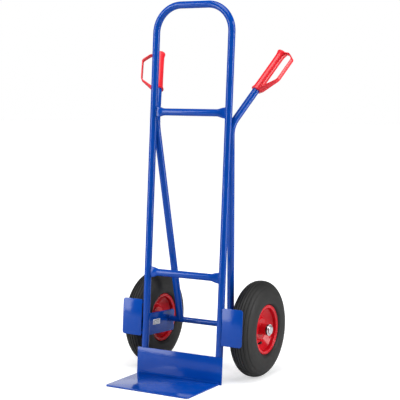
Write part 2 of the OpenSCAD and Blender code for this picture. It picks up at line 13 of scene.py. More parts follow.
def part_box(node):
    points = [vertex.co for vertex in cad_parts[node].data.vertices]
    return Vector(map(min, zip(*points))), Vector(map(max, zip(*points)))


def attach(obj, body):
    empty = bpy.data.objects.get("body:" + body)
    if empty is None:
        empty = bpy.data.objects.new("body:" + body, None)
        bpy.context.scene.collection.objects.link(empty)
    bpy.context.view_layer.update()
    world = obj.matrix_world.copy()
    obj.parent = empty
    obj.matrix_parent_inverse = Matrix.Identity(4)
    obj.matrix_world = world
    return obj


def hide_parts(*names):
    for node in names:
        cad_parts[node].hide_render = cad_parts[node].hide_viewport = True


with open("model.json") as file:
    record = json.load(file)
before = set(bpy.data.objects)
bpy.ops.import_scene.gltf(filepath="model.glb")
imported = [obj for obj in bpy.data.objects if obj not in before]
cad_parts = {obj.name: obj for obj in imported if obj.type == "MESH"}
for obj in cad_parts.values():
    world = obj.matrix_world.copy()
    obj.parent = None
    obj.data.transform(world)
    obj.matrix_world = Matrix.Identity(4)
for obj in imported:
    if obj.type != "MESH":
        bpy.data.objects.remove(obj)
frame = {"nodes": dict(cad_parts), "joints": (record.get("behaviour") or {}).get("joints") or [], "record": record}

X, Y = Vector((1, 0, 0)), Vector((0, 1, 0))
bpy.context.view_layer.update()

# Frame tube
TUBE_R = 0.0125
TUBE_WALL = 0.002
LEAN = math.radians(3.2)
HOOP_BEND_R = 0.095
BAR_END_H = 0.037
BAR_END_T = 0.009
BAR_TAPER = 0.030
BAR_FLAT = 0.004
BAR_SUNK = 0.0015  # how far a crossbar's end goes into the upright
BAR_STATIONS = 15  # rings in each of its pressed ends

# Handles and grips
HANDLE_FOOT_IN = 0.046
HANDLE_BEND_Z = 0.880
HANDLE_BEND_R = 0.075
HANDLE_BEND_BACK = 0.02079
HANDLE_L = 0.331
HANDLE_CLIMB = math.radians(50)
HANDLE_SPLAY = math.radians(28.3)
HANDLE_SHORT = 0.020  # from the tube's end to the grip's end
GRIP_L = 0.173
GRIP_R = 0.0155
COLLAR_R = 0.0185
COLLAR_L = 0.009
HAND_GAP = 0.065
BAND_W = 0.015
BAND_T = 0.004
BAND_IN = 0.002
BAND_STEP = 0.018
BAND_LOW = 0.056
BAND_HIGH = 0.024
BAND_FLARE = 0.7
BAND_FLARE_L = 0.040
GRIP_FIT = 0.0001
GUARD_TURN = math.radians(12)

# Wheels
WHEEL_R = 0.169
TYRE_HALF = 0.043
BELLY_RISE = 0.026
TYRE_FULLNESS = 0.87
SIDE_FULLNESS = 0.45
GROOVES = 8
GROOVE_PITCH = 0.0095
GROOVE_W = 0.0024
GROOVE_DEPTH = 0.003
GROOVE_FLOOR = 0.3  # share of a groove's half width that is flat, and that its wall takes
TYRE_WALL = 0.007
TREAD_T = 0.012
TREAD_INSIDE = 0.55  # share of the half width that the tread's inner face spans
TYRE_GAP = 0.0002  # between the tyre's side and the rim's lip
SEAT_GAP = 0.0003
BEAD_W = 0.008
SIDE_STEPS = 24
TREAD_STEPS = 220
RIM_EDGE_R = 0.0846
LIP_R = 0.0024
LIP_X = 0.0336
RIM_T = 0.002
SEAT_R = 0.0766
SEAT_W = 0.012
BOSS_R = 0.0376
BOSS_H = 0.012
BOSS_SIDE_W = 0.006
VALLEY_W = 0.006
HUB_R = 0.020
HUB_GAP = 0.00005

# Weld beads
RIPPLE = 0.0022
SWELL = 0.10
THIN_ENDS = (0.35, 0.7, 0.9)
SEAM_R = 0.0021
BRACKET_SEAM_R = 0.0020
TOE_SEAM_R = 0.0034
BAR_SEAM_R = 0.0017
AXLE_SEAM_R = 0.0018
HUB_SEAM_R = 0.0014
TACK_L = 0.010

# Places that follow from the frame
tube_lo, tube_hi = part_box("main_frame_tube")
axle_lo, axle_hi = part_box("axle")
UPRIGHT_X = tube_hi.x - TUBE_R
UPRIGHT_FOOT = (tube_lo.z + TUBE_R * math.sin(LEAN)) / math.cos(LEAN)
HOOP_TOP = (tube_hi.z - TUBE_R) / math.cos(LEAN)
FOOT_Y = tube_lo.y + TUBE_R * math.cos(LEAN) - UPRIGHT_FOOT * math.sin(LEAN)
AXLE_AT = (axle_lo + axle_hi) / 2
AXLE_R = (axle_hi.z - axle_lo.z) / 2
LEANING = Matrix.Translation((0, FOOT_Y, 0)) @ Matrix.Rotation(-LEAN, 4, "X")
MIRRORED = Matrix.Scale(-1, 4, X)
WHEEL_AT = Matrix.Translation(next(
    j["pos_m"] for j in frame["joints"] if j["child"] == "right_wheel"))


# ---------------------------------------------------------------- materials

class Value:
    """A node's output that takes part in an expression; each operator adds one Math node."""

    def __init__(self, nodes, socket):
        self.nodes = nodes
        self.socket = socket

    def math(self, operation, a, b):
        return self.nodes.node("ShaderNodeMath", {"operation": operation}, {0: a, 1: b})

    def __add__(self, other): return self.math("ADD", self, other)
    def __radd__(self, other): return self.math("ADD", other, self)
    def __mul__(self, other): return self.math("MULTIPLY", self, other)
    def __rmul__(self, other): return self.math("MULTIPLY", other, self)
    def __gt__(self, other): return self.math("GREATER_THAN", self, other)
    def __lt__(self, other): return self.math("LESS_THAN", self, other)


class Nodes:
    """A node tree, and the nodes that are added to it."""

    def __init__(self, tree):
        self.tree = tree

    def node(self, kind, settings=(), sockets=(), out=0):
        """A node of that type, with its settings made first and then its sockets set or linked."""
        made = self.tree.nodes.new(kind)
        for key, value in dict(settings).items():
            setattr(made, key, value)
        for key, value in dict(sockets).items():
            self.put(made.inputs[key], value)
        return Value(self, made.outputs[out])

    def put(self, socket, value):
        if isinstance(value, Value):
            self.tree.links.new(value.socket, socket)
        else:
            socket.default_value = value

    def place(self, centre=(0, 0, 0), scale=(1, 1, 1)):
        """Object coordinates, measured from a centre and stretched along each axis."""
        here = self.node("ShaderNodeTexCoord", out="Object")
        back = tuple(-c * s for c, s in zip(centre, scale))
        return self.node("ShaderNodeMapping", {}, {
            "Vector": here, "Location": back, "Scale": scale})

    def noise(self, scale, detail=2.0, roughness=0.5, at=None):
        at = at or self.node("ShaderNodeTexCoord", out="Object")
        return self.node("ShaderNodeTexNoise", {}, {
            "Vector": at, "Scale": scale, "Detail": detail, "Roughness": roughness}, "Fac")

    def ramp(self, value, low, high, start=0.0, end=1.0):
        """start below low, end above high, and a straight run between them."""
        return self.node("ShaderNodeMapRange", {}, {
            "Value": value, "From Min": low, "From Max": high, "To Min": start, "To Max": end})

    def mix(self, mask, a, b):
        return self.node("ShaderNodeMix", {"data_type": "RGBA"}, {0: mask, 6: a, 7: b}, 2)

    def part(self, vector, axis):
        """One of a vector's three parts, counted from 0."""
        return self.node("ShaderNodeSeparateXYZ", {}, {0: vector}, axis)


class Finish(Nodes):
    """A material with one Principled shader, whose constants are given by socket name."""

    def __init__(self, name, constants):
        self.material = bpy.data.materials.new(name)
        self.material.use_nodes = True
        super().__init__(self.material.node_tree)
        self.shader = self.tree.nodes["Principled BSDF"]
        for key, value in constants.items():
            self.set(key, value)

    def set(self, name, value):
        self.put(self.shader.inputs[name], value)

    def bump(self, height, distance, strength):
        self.set("Normal", self.node("ShaderNodeBump", {}, {
            "Height": height, "Distance": distance, "Strength": strength}))


def shade(colour, factor):
    return (*(min(1.0, c * factor) for c in colour), 1.0)


def gloss_paint(name, colour, roughness, texture, dust):
    """Baked paint: even colour, a fine orange-peel surface, and thin dust on upward faces."""
    f = Finish(name, {"Specular IOR Level": 0.30})
    cloud = f.noise(9.0, 3.0)
    body = f.mix(f.ramp(cloud, 0.3, 0.7), shade(colour, 0.94), shade(colour, 1.06))
    speck = f.ramp(f.noise(420.0, 2.0), 0.72, 0.80)
    up = f.part(f.node("ShaderNodeNewGeometry", out="Normal"), 2)
    settled = f.ramp(up, 0.5, 1.0) * f.ramp(f.noise(30.0, 4.0), 0.45, 0.75) * dust
    specked = f.mix(speck * 0.25, body, shade(colour, 1.6))
    f.set("Base Color", f.mix(settled, specked, shade((1, 1, 1), 0.45)))
    f.set("Roughness", roughness + f.ramp(cloud, 0.3, 0.7, -0.02, 0.03) + settled * 0.5)
    f.bump(f.noise(texture, 2.0) + f.noise(60.0, 2.0) * 0.6, 0.00012, 0.35)
    return f.material


def smooth_plastic(name, colour, roughness):
    """Moulded plastic: satin skin, slight colour flow, fine handling marks."""
    f = Finish(name, {"Specular IOR Level": 0.5})
    flow = f.noise(14.0, 3.0, at=f.place(scale=(1.0, 1.0, 0.4)))
    f.set("Base Color", f.mix(f.ramp(flow, 0.3, 0.7), shade(colour, 0.93), shade(colour, 1.05)))
    marks = f.ramp(f.noise(160.0, 4.0, 0.7), 0.55, 0.75)
    f.set("Roughness", roughness + marks * 0.08)
    f.bump(f.noise(900.0, 2.0) + marks * 0.2, 0.00002, 0.2)
    return f.material


def rubber(name, colour, bloom):
    """Tyre rubber: matt, with brownish bloom in clouds and a fine grain."""
    f = Finish(name, {"Specular IOR Level": 0.35})
    cloud = f.ramp(f.noise(16.0, 4.0, 0.6), 0.35, 0.70)
    fine = f.ramp(f.noise(220.0, 3.0, 0.6), 0.3, 0.7)
    f.set("Base Color", f.mix(cloud * 0.6 + fine * 0.2, shade(colour, 0.88), shade(bloom, 1.0)))
    f.set("Roughness", 0.50 + cloud * 0.12 + fine * 0.06)
    f.bump(f.noise(700.0, 3.0, 0.6) + fine * 0.4, 0.00015, 0.5)
    return f.material


def bright_metal(name, colour, roughness, turned):
    """Plated or ground metal with turning marks around the axle, and slight clouding."""
    f = Finish(name, {"Metallic": 1.0})
    cloud = f.noise(60.0, 3.0)
    f.set("Base Color", f.mix(f.ramp(cloud, 0.3, 0.7), shade(colour, 0.92), shade(colour, 1.04)))
    lines = f.noise(turned, 2.0, at=f.place(scale=(1.0, 0.04, 0.04)))
    f.set("Roughness", roughness + f.ramp(cloud, 0.35, 0.7, 0.0, 0.06) + lines * 0.04)
    f.bump(lines, 0.00003, 0.3)
    return f.material


def label_film(name, centre, length, height):
    """Pale film with plain printed bars and a block, and no lettering."""
    f = Finish(name, {"Roughness": 0.35})
    at = f.place(centre, (1.0, 1.0 / length, 1.0 / height))
    along, up = f.part(at, 1), f.part(at, 2)

    def within(value, low, high):
        return (value > low) * (value < high)

    rows = within(up, 0.14, 0.30) + within(up, -0.10, 0.0) + within(up, -0.34, -0.24)
    bars = within(along, -0.28, 0.36) * rows
    block = within(along, -0.42, -0.32) * within(up, -0.34, 0.30)
    ink = f.ramp(f.noise(900.0, 2.0), 0.2, 0.5, 0.85, 1.0)
    film, print_colour = (0.93, 0.94, 0.95, 1), (0.18, 0.21, 0.22, 1)
    f.set("Base Color", f.mix((bars * 0.75 + block) * ink, film, print_colour))
    return f.material


BLUE = gloss_paint("blue_powder_coat", (0.001, 0.062, 0.390), 0.09, 900.0, 0.03)
RIM_RED = gloss_paint("red_rim_paint", (0.620, 0.006, 0.016), 0.18, 1100.0, 0.03)
GRIP_RED = smooth_plastic("red_grip_plastic", (0.860, 0.016, 0.030), 0.30)
TYRE = rubber("tyre_rubber", (0.013, 0.013, 0.013), (0.028, 0.027, 0.025))
BLACK_RUBBER = rubber("valve_rubber", (0.014, 0.014, 0.014), (0.022, 0.022, 0.022))
NYLON = smooth_plastic("black_nylon", (0.012, 0.012, 0.013), 0.42)
ZINC = bright_metal("zinc_plate", (0.80, 0.82, 0.84), 0.13, 4000.0)
STEEL = bright_metal("bearing_steel", (0.56, 0.56, 0.57), 0.22, 5000.0)
BY_SLOT = {
    "frame_paint": BLUE, "grip_plastic": GRIP_RED, "zinc_plate": ZINC, "tyre_rubber": TYRE,
    "tube_rubber": BLACK_RUBBER, "rim_paint": RIM_RED, "black_plastic": NYLON,
    "bearing_steel": STEEL}
SLOT_OF = {row["node"]: row["material_slot"] for row in frame["record"]["subparts"]}


# ---------------------------------------------------------------- shapes

def rounded(points, radii, step=math.radians(6)):
    """The line through the points, with an arc of each given radius at its inner corners."""
    line = [points[0]]
    for before, corner, after, radius in zip(points, points[1:], points[2:], radii):
        u, v = (before - corner).normalized(), (after - corner).normalized()
        turn = math.pi - u.angle(v)
        reach = radius * math.tan(turn / 2)
        centre = corner + (u + v).normalized() * radius / math.cos(turn / 2)
        arm = corner + u * reach - centre
        axis = u.cross(v).normalized()
        count = max(2, math.ceil(turn / step))
        line += [centre + Matrix.Rotation(-turn * i / count, 3, axis) @ arm
                 for i in range(count + 1)]
    return line + [points[-1]]


def frames_on(line, normal, sizes=None, closed=False):
    """A frame at each point of a flat line: Z along it, Y the plane's normal, scaled by sizes."""
    frames = []
    last = len(line) - 1
    for i, point in enumerate(line):
        before = line[i - 1] if i or closed else point
        after = line[(i + 1) % len(line)] if i < last or closed else point
        along = (point - before).normalized() + (after - point).normalized()
        along.normalize()
        across = normal.cross(along).normalized()
        turn = Matrix((across, along.cross(across), along)).transposed().to_4x4()
        size = sizes[i] if sizes else 1.0
        frames.append(Matrix.Translation(point) @ turn @ Matrix.Scale(size, 4))
    return frames


def circle(radius, count=40):
    return [Vector((radius * math.cos(a), radius * math.sin(a), 0))
            for a in (2 * math.pi * i / count for i in range(count))]


def ring_about_x(x, radius, count):
    """Points of a circle around the X axis, at that place along it."""
    return [Vector((x, p.x, p.y)) for p in circle(radius, count)]


def ring_of(bm, outline):
    verts = [bm.verts.new(p) for p in outline]
    return [bm.edges.new((a, b)) for a, b in zip(verts, verts[1:] + verts[:1])]


def extruded(bm, edges):
    made = bmesh.ops.extrude_edge_only(bm, edges=edges)["geom"]
    return [g for g in made if isinstance(g, bmesh.types.BMEdge) and g not in edges
            and all(v in made for v in g.verts)]


def verts_of(edges):
    return list({v for e in edges for v in e.verts})


def carried(bm, edges, frames):
    """Draws a ring of edges out from frame to frame, and gives back the last ring."""
    for a, b in zip(frames, frames[1:]):
        edges = extruded(bm, edges)
        bmesh.ops.transform(bm, matrix=b @ a.inverted(), verts=verts_of(edges))
    return edges


def sweep(outline, frames, closed=False):
    """An outline carried through the frames. Open ends are closed with a face."""
    bm = bmesh.new()
    first = ring_of(bm, [frames[0] @ p for p in outline])
    edges = carried(bm, first, frames)
    if closed:
        bmesh.ops.bridge_loops(bm, edges=edges + first)
    else:
        bmesh.ops.contextual_create(bm, geom=first)
        bmesh.ops.contextual_create(bm, geom=edges)
    return bm


def open_tube(line, normal, radius, wall, depth=0.03):
    """A bent tube whose wall shows at its two open ends."""
    frames = frames_on(line, normal)
    bm = bmesh.new()
    start = ring_of(bm, [frames[0] @ p for p in circle(radius)])
    end = carried(bm, start, frames)
    for edges, at, inward in ((start, frames[0], depth), (end, frames[-1], -depth)):
        lip = extruded(bm, edges)
        bmesh.ops.scale(bm, vec=Vector((1, 1, 1)) * (radius - wall) / radius,
                        space=Matrix.Translation(-at.translation), verts=verts_of(lip))
        floor = extruded(bm, lip)
        bmesh.ops.translate(bm, vec=at.col[2].xyz.normalized() * inward, verts=verts_of(floor))
        bmesh.ops.contextual_create(bm, geom=floor)
    return bm


def turned(outline, steps=96):
    """A closed outline of (distance along X, radius) turned around the X axis."""
    bm = bmesh.new()
    verts = [bm.verts.new((x, r, 0)) for x, r in outline]
    edges = [bm.edges.new(pair) for pair in zip(verts, verts[1:] + verts[:1])]
    bmesh.ops.spin(bm, geom=verts + edges, cent=(0, 0, 0), axis=X, angle=2 * math.pi,
                   steps=steps, use_merge=True)
    bmesh.ops.remove_doubles(bm, verts=bm.verts, dist=1e-6)
    return bm


def bevel_edges(bm, width, segments):
    """Rounds every edge where two faces meet at more than 30 degrees."""
    edges = [e for e in bm.edges
             if len(e.link_faces) == 2 and e.calc_face_angle() > math.radians(30)]
    bmesh.ops.bevel(bm, geom=edges, offset=width, offset_type="OFFSET", segments=segments,
                    profile=0.5, affect="EDGES", material=-1, clamp_overlap=True)


def from_cad(node, width, segments=3):
    """A merged copy of a CAD node with its sharp edges rounded."""
    bm = bmesh.new()
    bm.from_mesh(frame["nodes"][node].data)
    bmesh.ops.remove_doubles(bm, verts=bm.verts, dist=2e-6)
    bmesh.ops.dissolve_limit(bm, angle_limit=math.radians(0.5), verts=bm.verts, edges=bm.edges)
    bevel_edges(bm, width, segments)
    return bm


def piece(bm, name, body, material, nodes=(), matrix=None, sharp=math.radians(40)):
    """Makes the mesh an object that rides on a body and stands for the CAD nodes."""
    if matrix:
        bmesh.ops.transform(bm, matrix=matrix, verts=bm.verts)
    bmesh.ops.recalc_face_normals(bm, faces=bm.faces)
    mesh = bpy.data.meshes.new(name)
    bm.to_mesh(mesh)
    bm.free()
    mesh.shade_smooth()
    mesh.set_sharp_from_angle(angle=sharp)
    mesh.materials.append(material)
    thing = bpy.data.objects.new(name, mesh)
    bpy.context.scene.collection.objects.link(thing)
    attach(thing, body)
    if nodes:
        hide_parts(*nodes)
    return thing


def joined(parts):
    """Several meshes as one."""
    whole = bmesh.new()
    for bm in parts:
        mesh = bpy.data.meshes.new("part")
        bm.to_mesh(mesh)
        bm.free()
        whole.from_mesh(mesh)
        bpy.data.meshes.remove(mesh)
    return whole


# ---------------------------------------------------------------- welds

def bead(line, normal, radius, closed=False):
    """A weld bead along a line, swelling at each ripple and thin at its open ends."""
    fine = []
    stations = list(zip(line, line[1:] + line[:1])) if closed else list(zip(line, line[1:]))
    for a, b in stations:
        count = max(1, round((b - a).length / RIPPLE * 4))
        fine += [a.lerp(b, i / count) for i in range(count)]
    if not closed:
        fine.append(line[-1])
    sizes = [1.0 + SWELL * math.sin(math.pi * i / 2) for i in range(len(fine))]
    if not closed:
        for i, size in enumerate(THIN_ENDS):
            sizes[i] *= size
            sizes[-1 - i] *= size
    return sweep(circle(radius, 10), frames_on(fine, normal, sizes, closed), closed)


def upright_beads(depth, low, high, radius):
    """Straight beads on both sides of both uprights, touching them at that depth."""
    aside = math.sqrt((TUBE_R + radius) ** 2 - depth ** 2)
    return joined([
        bead([Vector((x, depth, low)), Vector((x, depth, high))], Y, radius)
        for side in (-1, 1) for x in (side * UPRIGHT_X - aside, side * UPRIGHT_X + aside)])


# ---------------------------------------------------------------- frame

def frame_tube():
    top = [Vector((-UPRIGHT_X, 0, UPRIGHT_FOOT)), Vector((-UPRIGHT_X, 0, HOOP_TOP)),
           Vector((UPRIGHT_X, 0, HOOP_TOP)), Vector((UPRIGHT_X, 0, UPRIGHT_FOOT))]
    bm = open_tube(rounded(top, [HOOP_BEND_R] * 2, math.radians(4)), Y, TUBE_R, TUBE_WALL)
    piece(bm, "hoop_and_uprights", "frame", BLUE, ["main_frame_tube"], matrix=LEANING)


def pressed(verts):
    """Presses the rings of a round bar flat towards its ends."""
    flat_from = UPRIGHT_X - TUBE_R - BAR_FLAT
    for v in verts:
        t = min(1.0, max(0.0, (abs(v.co.x) - flat_from + BAR_TAPER) / BAR_TAPER))
        press = t * t * (3 - 2 * t)
        c, s = v.co.y / TUBE_R, v.co.z / TUBE_R
        flat_y = math.copysign(abs(c) ** 0.35, c) * BAR_END_T / 2
        v.co.y += (flat_y - v.co.y) * press
        v.co.z += (s * BAR_END_H / 2 - v.co.z) * press


def crossbar(node, name):
    lo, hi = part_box(node)
    at = Matrix.Translation((0, 0, (lo.z + hi.z) / 2 / math.cos(LEAN)))
    end = UPRIGHT_X - TUBE_R + BAR_SUNK
    taper = end - BAR_TAPER - BAR_FLAT - BAR_SUNK
    stations = [-end + (end - taper) * i / (BAR_STATIONS - 1) for i in range(BAR_STATIONS)]
    line = [Vector((x, 0, 0)) for x in stations + [-x for x in reversed(stations)]]
    bm = sweep(circle(TUBE_R), frames_on(line, Y))
    pressed(bm.verts)
    piece(bm, name, "frame", BLUE, [node], matrix=LEANING @ at)
    half_t, half_h = BAR_END_T / 2 + 0.0006, BAR_END_H / 2 + 0.0004
    reach = UPRIGHT_X - TUBE_R + 0.0002
    corners = [Vector((-reach, y * half_t, z * half_h))
               for y, z in ((0, -1), (-1, -1), (-1, 1), (1, 1), (1, -1), (0, -1))]
    loop = rounded(corners, [half_t * 0.9] * 4)[:-1]
    seams = [bead(loop, X, BAR_SEAM_R, closed=True) for _ in range(2)]
    bmesh.ops.transform(seams[1], matrix=MIRRORED, verts=seams[1].verts)
    piece(joined(seams), name + "_weld", "frame", BLUE,
          matrix=LEANING @ at)


HANDLE_DIR = Vector((math.cos(HANDLE_CLIMB) * math.sin(HANDLE_SPLAY),
                     math.cos(HANDLE_CLIMB) * math.cos(HANDLE_SPLAY),
                     math.sin(HANDLE_CLIMB)))
HANDLE_FOOT = Vector((UPRIGHT_X - HANDLE_FOOT_IN, AXLE_AT.y, AXLE_AT.z))
HANDLE_CORNER = Vector((
    UPRIGHT_X, FOOT_Y + HANDLE_BEND_Z * math.tan(LEAN) + HANDLE_BEND_BACK, HANDLE_BEND_Z))
GRIP_FOOT = HANDLE_CORNER + HANDLE_DIR * (HANDLE_L - GRIP_L)


def handle_tube(side, matrix):
    rise = (HANDLE_CORNER - HANDLE_FOOT).normalized()
    top = HANDLE_CORNER + HANDLE_DIR * (HANDLE_L - HANDLE_SHORT)
    line = rounded([HANDLE_FOOT, HANDLE_CORNER, top], [HANDLE_BEND_R], math.radians(4))
    bm = open_tube(line, rise.cross(HANDLE_DIR).normalized(), TUBE_R, TUBE_WALL, 0.012)
    piece(bm, side + "_handle_bar", "frame", BLUE, [side + "_handle_tube"], matrix=matrix)


def plates():
    for node, name, width in (
            ("heel_plate", "heel_sheet", 0.0010),
            ("toe_plate", "toe_sheet", 0.0012),
            ("left_axle_bracket", "left_axle_plate", 0.0009),
            ("right_axle_bracket", "right_axle_plate", 0.0009),
            ("left_wheel_guard", "left_mudguard", 0.0008),
            ("right_wheel_guard", "right_mudguard", 0.0008)):
        piece(from_cad(node, width), name, "frame", BLUE, [node])


def axle_pieces():
    for node, name, width in (
            ("axle", "axle_bar", 0.0008),
            ("left_axle_spacer", "left_spacer_sleeve", 0.0006),
            ("right_axle_spacer", "right_spacer_sleeve", 0.0006),
            ("axle_washers", "axle_washer_pair", 0.0003)):
        piece(from_cad(node, width), name, "frame", BY_SLOT[SLOT_OF[node]], [node])


def frame_welds():
    for node, name, depth in (
            ("heel_welds", "heel_seams", -TUBE_R + SEAM_R),
            ("handle_welds", "handle_seams", TUBE_R - 0.0006)):
        lo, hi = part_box(node)
        low, high = lo.z / math.cos(LEAN), hi.z / math.cos(LEAN)
        piece(upright_beads(depth, low, high, SEAM_R), name, "frame", BLUE, [node],
              matrix=LEANING)


def toe_seam():
    lo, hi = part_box("toe_weld")
    y, z = hi.y - 0.0014, lo.z + 0.0012
    bm = bead([Vector((lo.x, y, z)), Vector((hi.x, y, z))], Y, TOE_SEAM_R)
    piece(bm, "toe_seam", "frame", BLUE, ["toe_weld"])


def guard_seams():
    """Two short beads beside each other at the top and the foot of each guard."""
    guard_lo, guard_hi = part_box("right_wheel_guard")
    from_edge, between = 0.005, 0.0016
    ahead_low, ahead_high = 0.0085, 0.0080
    seams = []
    for z in (guard_lo.z + from_edge, guard_hi.z - from_edge - TACK_L):
        depth = FOOT_Y + (z + TACK_L / 2) * math.tan(LEAN)
        for side in (-1, 1):
            for x in (side * guard_lo.x, side * (guard_lo.x - between)):
                ends = [Vector((x, depth - ahead_low, z)),
                        Vector((x, depth - ahead_high, z + TACK_L))]
                seams.append(bead(ends, Y, SEAM_R))
    piece(joined(seams), "guard_seams", "frame", BLUE, ["guard_welds"])


def bracket_seams():
    """Beads on both sides of each bracket, where it meets the upright's back."""
    seams = []
    radius = BRACKET_SEAM_R
    for node in ("left_axle_bracket", "right_axle_bracket"):
        lo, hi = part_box(node)
        aside = (hi.x - lo.x) / 2 + radius * 0.4
        depth = math.sqrt((TUBE_R + radius * 0.5) ** 2 - aside ** 2)
        for x in (lo.x - radius * 0.4, hi.x + radius * 0.4):
            ends = [Vector((x, depth, lo.z + 0.012)), Vector((x, depth, hi.z - 0.014))]
            seams.append(bead(ends, Y, radius))
    piece(joined(seams), "bracket_seams", "frame", BLUE, matrix=LEANING)


def axle_seams():
    """Ring beads where the axle passes through the two brackets."""
    at = UPRIGHT_X - 0.0033
    seams = [bead(ring_about_x(x, AXLE_R, 40), X, AXLE_SEAM_R, closed=True) for x in (at, -at)]
    piece(joined(seams), "axle_seams", "frame", BLUE,
          matrix=Matrix.Translation(AXLE_AT))


# ---------------------------------------------------------------- grips

def grip_matrix():
    outward = (X - HANDLE_DIR * HANDLE_DIR.x).normalized()
    across = HANDLE_DIR.cross(outward)
    guard = outward * math.cos(GUARD_TURN) - across * math.sin(GUARD_TURN)
    turn = Matrix((guard, HANDLE_DIR.cross(guard), HANDLE_DIR)).transposed().to_4x4()
    return Matrix.Translation(GRIP_FOOT) @ turn


def band_size(p):
    """The band grows towards its root on the lower collar, and is plain everywhere else."""
    if p.z >= GRIP_L / 2:
        return 1.0
    return 1 + BAND_FLARE * min(1.0, max(0.0, 1 - (p.x - COLLAR_R) / BAND_FLARE_L))


def grip(side, matrix):
    """A closed sleeve with a collar at each end and a flat band that guards the hand."""
    bore = TUBE_R + GRIP_FIT
    edge = 0.003
    end_t = 0.006
    low_collar = [(0, bore), (0, COLLAR_R - 0.0012), (0.0012, COLLAR_R),
                  (COLLAR_L * 0.5, COLLAR_R), (COLLAR_L, GRIP_R + 0.0012)]
    waist = [(COLLAR_L + 0.004, GRIP_R + 0.0002), (0.05, GRIP_R - 0.0004),
             (GRIP_L - 0.05, GRIP_R - 0.0004), (GRIP_L - 0.022, GRIP_R)]
    high_collar = [(GRIP_L - COLLAR_L - 0.002, GRIP_R + 0.0010),
                   (GRIP_L - COLLAR_L + 0.002, COLLAR_R - 0.0003), (GRIP_L - edge, COLLAR_R)]
    crown = [(GRIP_L - 0.0016, COLLAR_R - 0.0010), (GRIP_L - 0.0006, COLLAR_R - edge),
             (GRIP_L - 0.0001, COLLAR_R * 0.5), (GRIP_L, 0)]
    blind_end = [(GRIP_L - end_t, 0), (GRIP_L - end_t, bore)]
    sleeve = low_collar + waist + high_collar + crown + blind_end
    body = turned(sleeve, 64)
    bmesh.ops.transform(body, matrix=Matrix.Rotation(-math.pi / 2, 4, "Y"), verts=body.verts)
    low, top = BAND_IN + BAND_T / 2, GRIP_L - BAND_IN - BAND_T / 2
    corners = [Vector((x, 0, z)) for x, z in (
        (GRIP_R - 0.002, low), (COLLAR_R, low), (HAND_GAP, BAND_LOW),
        (HAND_GAP, GRIP_L - BAND_HIGH), (COLLAR_R + BAND_STEP, top), (GRIP_R - 0.002, top))]
    line = rounded(corners, [0.010, 0.020, 0.013, 0.013], math.radians(5))
    flat, wide = BAND_T / 2, BAND_W / 2
    section = [Vector((x, y, 0))
               for x, y in ((flat, -wide), (flat, wide), (-flat, wide), (-flat, -wide))]
    section = rounded(section[-1:] + section + section[:1], [0.0012] * 4, math.radians(30))[1:-1]
    band = sweep(section, frames_on(line, Y, [band_size(p) for p in line]))
    piece(joined([body, band]), side + "_hand_grip", "frame", GRIP_RED, [side + "_grip"],
          matrix=matrix @ grip_matrix())


# ---------------------------------------------------------------- wheels

def tyre_point(a, half, rise, drop, belly):
    """A point of the tyre's outside: a full oval above the belly, a flatter one below it."""
    power = TYRE_FULLNESS if math.sin(a) > 0 else SIDE_FULLNESS
    r = math.copysign(abs(math.sin(a)) ** power, math.sin(a))
    x = math.copysign(abs(math.cos(a)) ** power, math.cos(a))
    return Vector((half * x, belly + r * (rise if r > 0 else drop), 0))


def tyre(side, matrix):
    belly = RIM_EDGE_R + BELLY_RISE
    rise = WHEEL_R - belly
    foot_x, foot_r = LIP_X - LIP_R - TYRE_GAP, RIM_EDGE_R + LIP_R + TYRE_GAP
    foot_angle = math.acos((foot_x / TYRE_HALF) ** (1 / SIDE_FULLNESS))
    drop = (belly - foot_r) / math.sin(foot_angle) ** SIDE_FULLNESS
    turns = [foot_angle * ((i / SIDE_STEPS) ** 2 - 1) for i in range(SIDE_STEPS)]
    turns += [math.pi * i / TREAD_STEPS for i in range(1, TREAD_STEPS)]
    turns += [math.pi - t for t in reversed(turns[:SIDE_STEPS])]
    line = []
    for a in turns:
        p = tyre_point(a, TYRE_HALF, rise, drop, belly)
        place = p.x / GROOVE_PITCH + (GROOVES - 1) / 2
        nearest = min(GROOVES - 1, max(0, round(place)))
        off = abs(place - nearest) * GROOVE_PITCH
        if p.y > belly and off < GROOVE_W:
            wall = GROOVE_W * GROOVE_FLOOR
            cut = 1 - min(1.0, max(0.0, (off - wall) / wall))
            p.y -= GROOVE_DEPTH * cut
        line.append((p.x, p.y))
    seat = SEAT_R + RIM_T / 2 + SEAT_GAP
    bead_out = LIP_X - RIM_T * 1.5
    bead_in = bead_out - BEAD_W
    half_inside = [(bead_out, seat), (bead_in, seat), (TYRE_HALF - TYRE_WALL, belly),
                   (TYRE_HALF * TREAD_INSIDE, WHEEL_R - TREAD_T)]
    inside = [(-x, r) for x, r in half_inside] + half_inside[::-1]
    piece(turned(line + inside, 144), side + "_ribbed_tyre", side + "_wheel", TYRE,
          [side + "_tyre"], matrix=matrix, sharp=math.radians(55))


def rim_outline():
    """The pressed sheet's section as (distance from the middle plane, radius), with soft bends."""
    seat_x = LIP_X - RIM_T / 2
    middle = [Vector(p + (0,)) for p in (
        (LIP_X, RIM_EDGE_R), (seat_x, SEAT_R), (seat_x - SEAT_W, SEAT_R - RIM_T / 2),
        (RIM_T / 2, BOSS_R + BOSS_SIDE_W + VALLEY_W), (RIM_T / 2, BOSS_R + BOSS_SIDE_W),
        (BOSS_H, BOSS_R), (BOSS_H, HUB_R + HUB_GAP))]
    line = rounded(middle, [0.002, 0.0035, 0.004, 0.003, 0.0035], math.radians(15))
    sides = []
    for way in (1, -1):
        edge = []
        for i, p in enumerate(line):
            before, after = line[max(i - 1, 0)], line[min(i + 1, len(line) - 1)]
            along = (after - before).normalized()
            edge.append((p.x - way * along.y * RIM_T / 2, p.y + way * along.x * RIM_T / 2))
        sides.append(edge)
    return sides[0] + sides[1][::-1]


